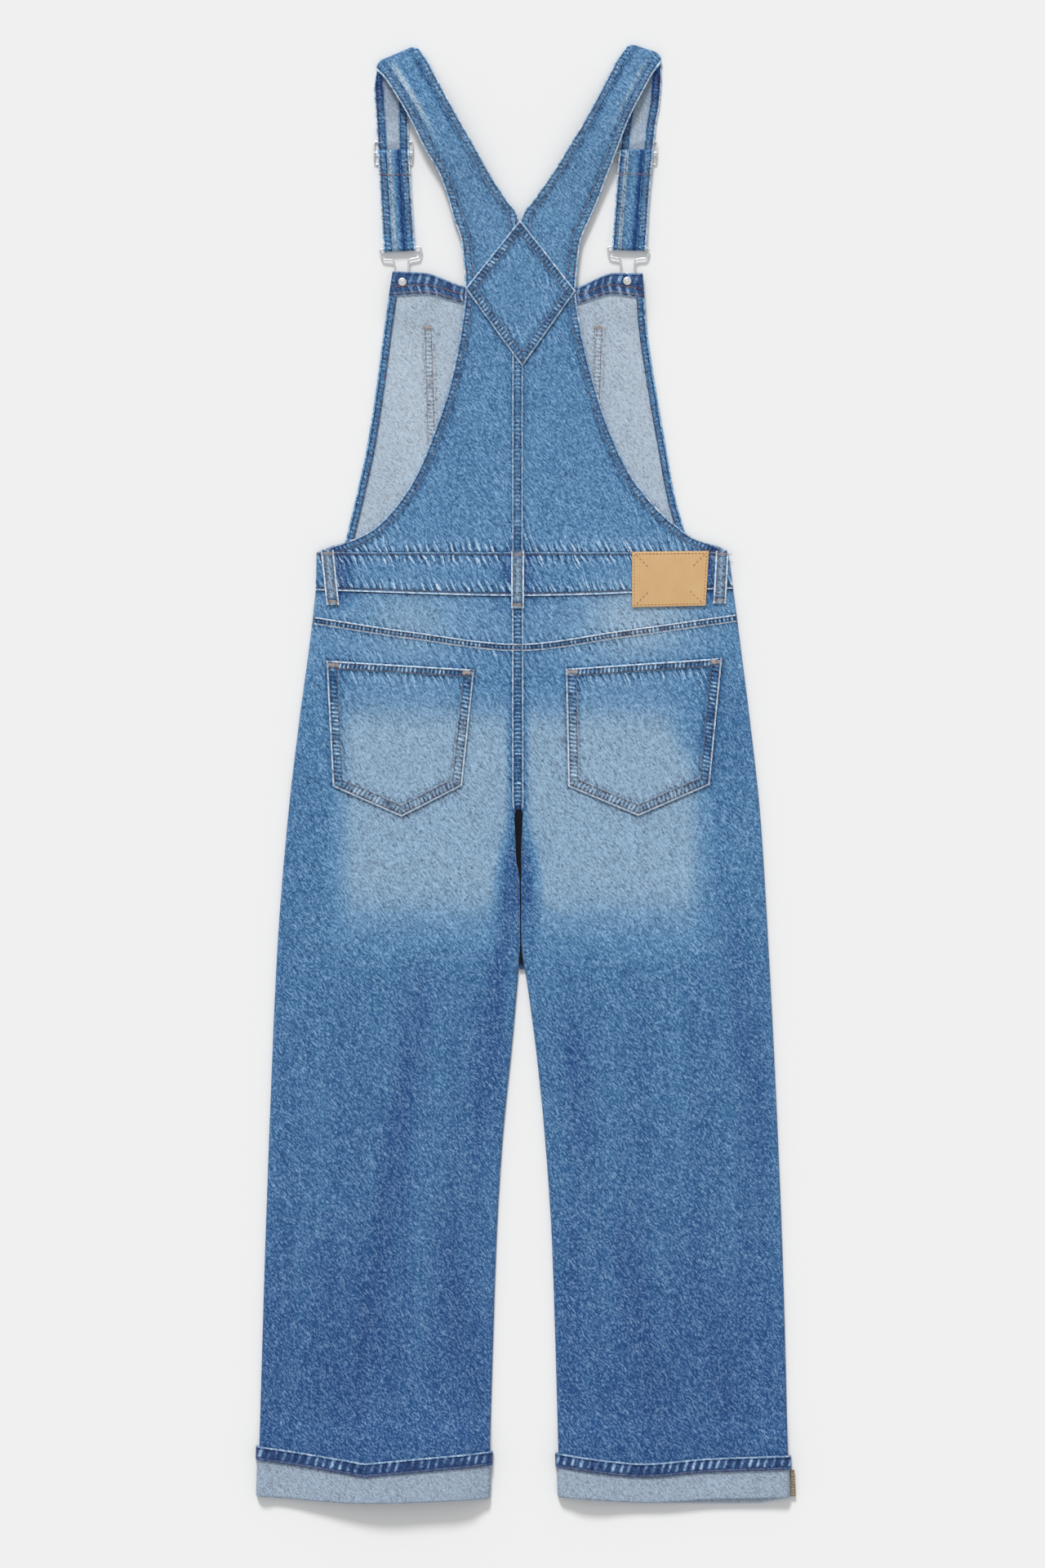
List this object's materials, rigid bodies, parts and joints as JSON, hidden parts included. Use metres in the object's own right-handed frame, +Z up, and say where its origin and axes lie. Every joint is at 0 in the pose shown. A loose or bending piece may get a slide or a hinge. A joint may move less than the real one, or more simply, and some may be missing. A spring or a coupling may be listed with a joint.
{
  "type": "dungarees",
  "caption": "Denim dungarees laid flat on their front, with a bib, straps on wire buckles, back pockets, belt loops, a blank waist patch and turned-up cuffs.",
  "frame": {"origin": "middle of the laid-out garment's outline, on the surface it lies on", "axes": "+Y towards the shoulders, +X towards the wearer's right side, +Z up from the surface, out of the garment's back"},
  "size_m": [0.5248, 1.419, 0.0125],
  "materials": {
    "denim": "mid-blue washed denim with a diagonal twill",
    "dark_denim": "darker denim of the turned hems",
    "denim_reverse": "pale wrong side of the denim",
    "patch_leather": "tan leather, blank",
    "overlock_thread": "brown overlocked seam edge",
    "fittings_metal": "bright nickel-plated wire and studs"
  },
  "bodies": {
    "root": {"back_bib_left": "denim", "back_bib_right": "denim", "back_leg_left": "denim", "back_leg_right": "denim", "back_pocket_left": "denim", "back_pocket_right": "denim", "belt_loop_centre": "denim", "belt_loop_left": "denim", "belt_loop_right": "denim", "bib_pocket": "denim", "diamond_patch": "denim", "strap_left": "denim", "strap_right": "denim", "waistband_back": "denim", "yoke_left": "denim", "yoke_right": "denim", "bib_side_hem_left": "dark_denim", "bib_side_hem_right": "dark_denim", "bib_top_hem": "dark_denim", "hem_back_left": "dark_denim", "hem_back_right": "dark_denim", "hem_front_left": "dark_denim", "hem_front_right": "dark_denim", "cuff_back_left": "denim_reverse", "cuff_back_right": "denim_reverse", "cuff_front_left": "denim_reverse", "cuff_front_right": "denim_reverse", "front_bib": "denim_reverse", "front_leg_left": "denim_reverse", "front_leg_right": "denim_reverse", "waistband_front": "denim_reverse", "leather_patch": "patch_leather", "seam_end_right": "overlock_thread", "buckle_left": "fittings_metal", "buckle_right": "fittings_metal", "button_left": "fittings_metal", "button_right": "fittings_metal", "slider_left": "fittings_metal", "slider_right": "fittings_metal", "tack_left": "fittings_metal", "tack_right": "fittings_metal"}
  },
  "joints": []
}
